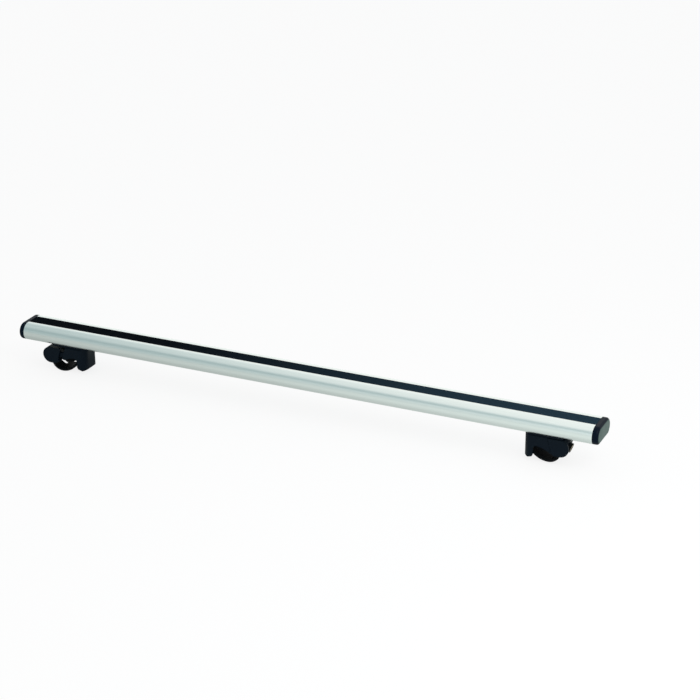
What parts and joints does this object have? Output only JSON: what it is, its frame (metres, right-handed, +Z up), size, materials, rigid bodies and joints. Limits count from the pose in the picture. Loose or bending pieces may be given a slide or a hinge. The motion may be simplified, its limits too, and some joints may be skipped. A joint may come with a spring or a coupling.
{
  "type": "roof rack crossbar",
  "caption": "Roof rack crossbar: oval aluminium bar with a ribbed black strip, black end caps and two black feet that clamp raised roof rails with a bolted jaw and strap.",
  "frame": {"origin": "middle of the underside of the bounding box, level with the lowest point of the left strap", "axes": "+X along the bar to the right end cap, +Y to the back of the vehicle's bar, +Z up"},
  "size_m": [1.2, 0.073, 0.0912],
  "materials": {
    "bar_aluminium": "satin anodised",
    "strip_rubber": "matte, ribbed",
    "cap_plastic": "fine grained",
    "foot_plastic": "fine grained",
    "collar_plastic": "smooth",
    "rubber": "matte",
    "strap_steel": "black powder coat",
    "zinc_steel": "zinc plated",
    "yellow_zinc": "yellow passivated zinc"
  },
  "bodies": {
    "bar": {"bar": "bar_aluminium", "strip": "strip_rubber", "end_cap_right": "cap_plastic", "end_cap_left": "cap_plastic"},
    "foot_right": {"foot_body_right": "foot_plastic", "foot_gasket_right": "rubber", "clamp_plate_right": "zinc_steel", "plate_screws_right": "zinc_steel", "rail_pad_right": "rubber", "clamp_nut_right": "yellow_zinc"},
    "jaw_right": {"jaw_right": "foot_plastic", "strap_right": "strap_steel", "strap_liner_right": "rubber", "bolt_collar_right": "collar_plastic"},
    "bolt_right": {"clamp_bolt_right": "yellow_zinc"},
    "foot_left": {"foot_body_left": "foot_plastic", "foot_gasket_left": "rubber", "clamp_plate_left": "zinc_steel", "plate_screws_left": "zinc_steel", "rail_pad_left": "rubber", "clamp_nut_left": "yellow_zinc"},
    "jaw_left": {"jaw_left": "foot_plastic", "strap_left": "strap_steel", "strap_liner_left": "rubber", "bolt_collar_left": "collar_plastic"},
    "bolt_left": {"clamp_bolt_left": "yellow_zinc"}
  },
  "joints": [
    {"name": "foot_right_slide", "type": "slide", "parent": "bar", "child": "foot_right", "axis": [1, 0, 0], "range_m": [-0.4, 0.05]},
    {"name": "jaw_right_slide", "type": "slide", "parent": "foot_right", "child": "jaw_right", "axis": [0.9511, 0, -0.309], "range_m": [0, 0.012]},
    {"name": "bolt_right_turn", "type": "hinge", "parent": "jaw_right", "child": "bolt_right", "pos_m": [0.54136, 0, 0.0293], "axis": [0.9511, 0, -0.309], "range_deg": [0, 3456]},
    {"name": "foot_left_slide", "type": "slide", "parent": "bar", "child": "foot_left", "axis": [-1, 0, 0], "range_m": [-0.4, 0.05]},
    {"name": "jaw_left_slide", "type": "slide", "parent": "foot_left", "child": "jaw_left", "axis": [-0.9511, 0, -0.309], "range_m": [-0.0105, 0.0015]},
    {"name": "bolt_left_turn", "type": "hinge", "parent": "jaw_left", "child": "bolt_left", "pos_m": [-0.55135, 0, 0.02605], "axis": [-0.9511, 0, -0.309], "range_deg": [-3024, 432]}
  ],
  "couplings": [
    {"joint": "bolt_right_turn", "follows": "jaw_right_slide", "rad_per_m": 5026.5},
    {"joint": "bolt_left_turn", "follows": "jaw_left_slide", "rad_per_m": 5026.5}
  ]
}
